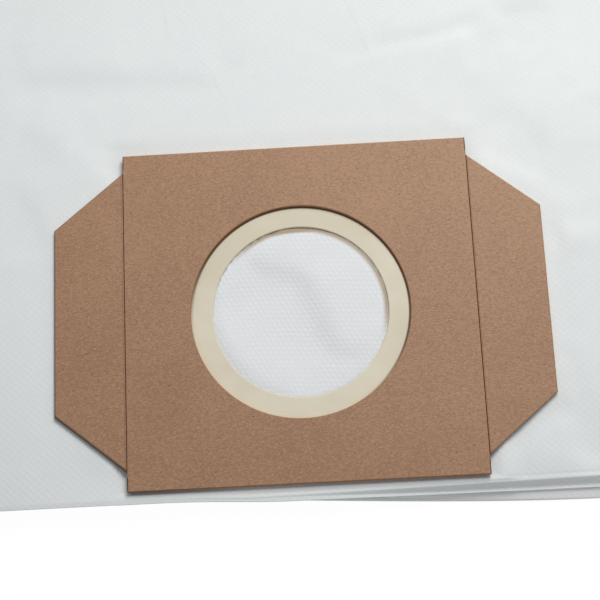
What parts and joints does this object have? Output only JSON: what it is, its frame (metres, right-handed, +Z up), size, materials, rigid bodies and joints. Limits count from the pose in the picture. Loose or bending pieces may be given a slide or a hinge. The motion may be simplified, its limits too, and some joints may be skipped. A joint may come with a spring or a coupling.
{
  "type": "vacuum dust bag",
  "caption": "Flat non-woven vacuum dust bag with side gussets and welded ends, and a winged kraft board collar with a rubber seal around its inlet.",
  "frame": {"origin": "middle of the bag's footprint, on the surface that the back panel lies on", "axes": "+X along the bag's length from end weld to end weld, +Y from the side that has the collar to the other gusseted side, +Z up out of the inlet"},
  "size_m": [0.44, 0.295, 0.0099],
  "materials": {
    "nonwoven": "white point-bonded non-woven, matt",
    "kraft_board": "brown kraft board, matt, fine fibres and dark specks",
    "seal_rubber": "cream rubber sheet, satin"
  },
  "bodies": {
    "root": {"filter_bag": "nonwoven", "back_board": "kraft_board", "front_board": "kraft_board", "seal_ring": "seal_rubber"}
  },
  "joints": []
}
